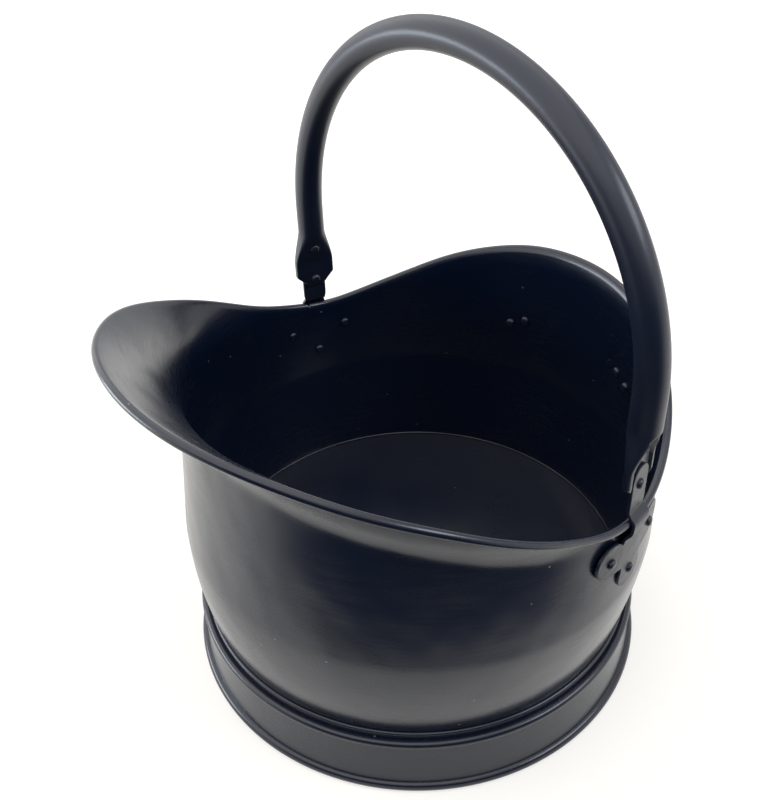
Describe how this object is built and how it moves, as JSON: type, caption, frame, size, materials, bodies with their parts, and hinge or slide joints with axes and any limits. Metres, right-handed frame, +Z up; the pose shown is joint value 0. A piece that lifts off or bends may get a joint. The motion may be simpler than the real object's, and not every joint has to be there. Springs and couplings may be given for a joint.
{
  "type": "helmet log carrier",
  "caption": "Helmet-shaped sheet-steel log carrier with a flared pouring lip, rolled rim, beaded base ring, fixed tube hoop on three-lobed brackets and a rear tipping handle.",
  "frame": {"origin": "on the floor plane at the axis of the base ring", "axes": "+Z up, -Y towards the pouring lip, the hoop handle spans X"},
  "size_m": [0.3258, 0.3864, 0.4225],
  "materials": {
    "drum_paint": "satin black stove paint over sheet steel, faintly brushed and hammered",
    "hoop_paint": "smooth satin black paint over steel tube and rod",
    "bracket_paint": "satin black paint over pressed steel plate",
    "rivet_paint": "black paint over domed steel rivets"
  },
  "bodies": {
    "root": {"body_shell": "drum_paint", "floor_pan": "drum_paint", "base_ring": "drum_paint", "hoop_handle": "hoop_paint", "left_bracket": "bracket_paint", "right_bracket": "bracket_paint", "left_bracket_rivets": "rivet_paint", "right_bracket_rivets": "rivet_paint", "left_hoop_rivets": "rivet_paint", "right_hoop_rivets": "rivet_paint", "rear_handle": "hoop_paint", "rear_handle_rivets": "rivet_paint"}
  },
  "joints": []
}
